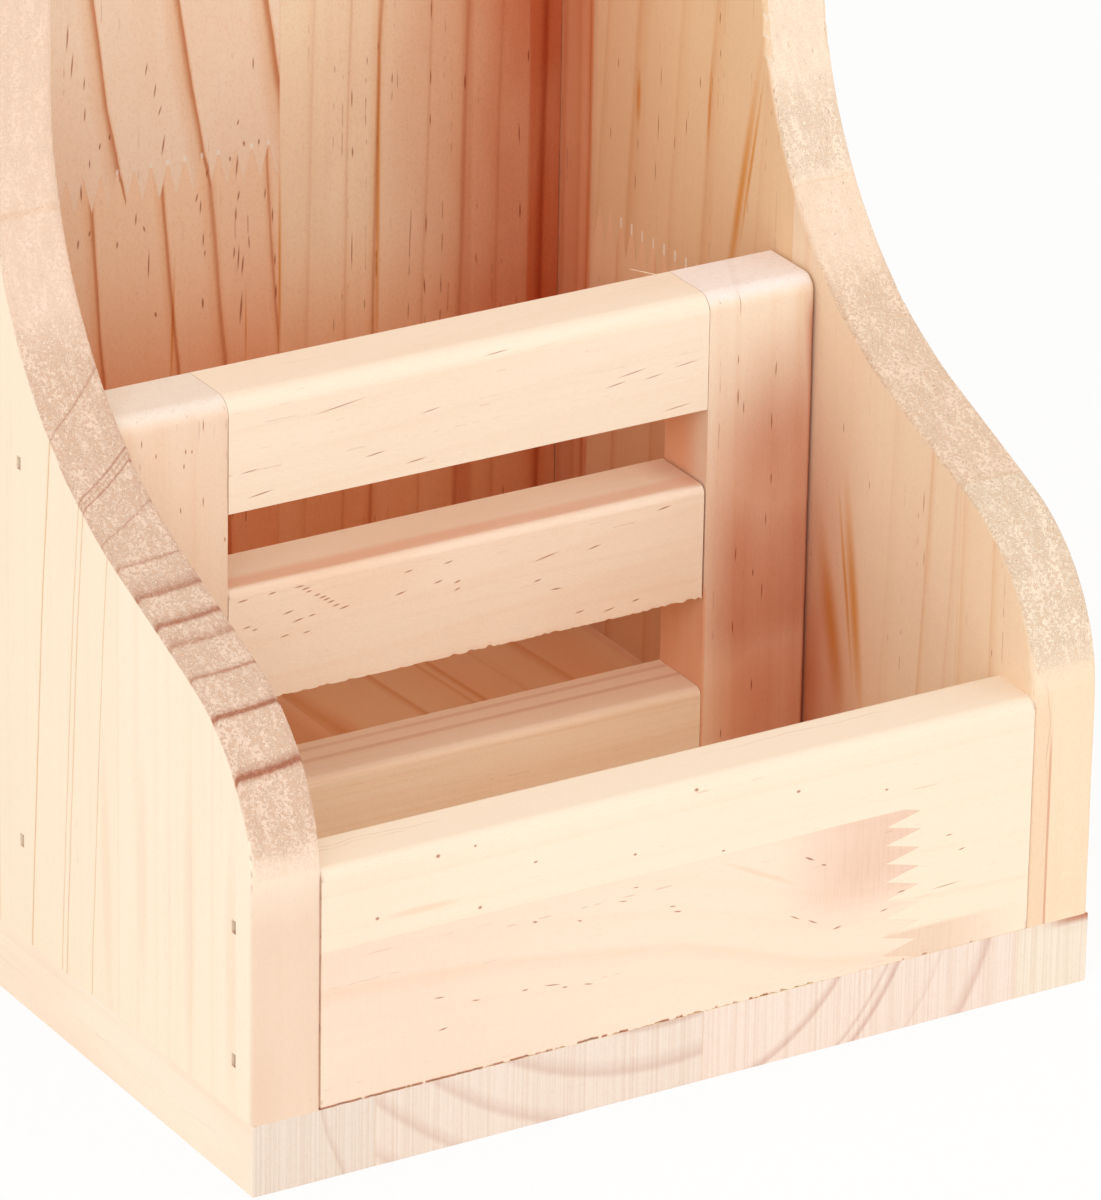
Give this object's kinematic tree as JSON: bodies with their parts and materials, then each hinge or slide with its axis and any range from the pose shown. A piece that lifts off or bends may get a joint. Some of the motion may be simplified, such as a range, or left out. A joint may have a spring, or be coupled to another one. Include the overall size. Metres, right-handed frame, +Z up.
{
  "type": "small animal feeder",
  "caption": "Open-topped pine feeder box: curved sides, low front board, feed trough, slatted divider and a hay compartment behind it.",
  "frame": {"origin": "middle of the underside of the base board", "axes": "+Z up, +X to the right seen from the front, -Y towards the front board"},
  "size_m": [0.152, 0.158, 0.2],
  "materials": {
    "base_pine": "sanded, unvarnished, end grain at the front",
    "side_pine": "sanded, unvarnished",
    "back_pine": "sanded, unvarnished, strong latewood lines",
    "front_pine": "sanded, unvarnished, finger jointed",
    "divider_pine": "sanded, unvarnished",
    "brad_steel": "bright drawn wire"
  },
  "bodies": {
    "root": {"base_board": "base_pine", "left_side_panel": "side_pine", "right_side_panel": "side_pine", "back_panel": "back_pine", "front_board": "front_pine", "divider_left_stile": "divider_pine", "divider_right_stile": "divider_pine", "divider_bottom_rail": "divider_pine", "divider_middle_rail": "divider_pine", "divider_top_rail": "divider_pine", "front_board_brads_left": "brad_steel", "front_board_brads_right": "brad_steel", "divider_brads_left": "brad_steel", "divider_brads_right": "brad_steel", "back_panel_brads_left": "brad_steel", "back_panel_brads_right": "brad_steel", "base_brads_left_side": "brad_steel", "base_brads_right_side": "brad_steel", "base_brads_front_board": "brad_steel", "base_brads_back_panel": "brad_steel", "bottom_rail_brads": "brad_steel", "middle_rail_brads": "brad_steel", "top_rail_brads": "brad_steel"}
  },
  "joints": []
}
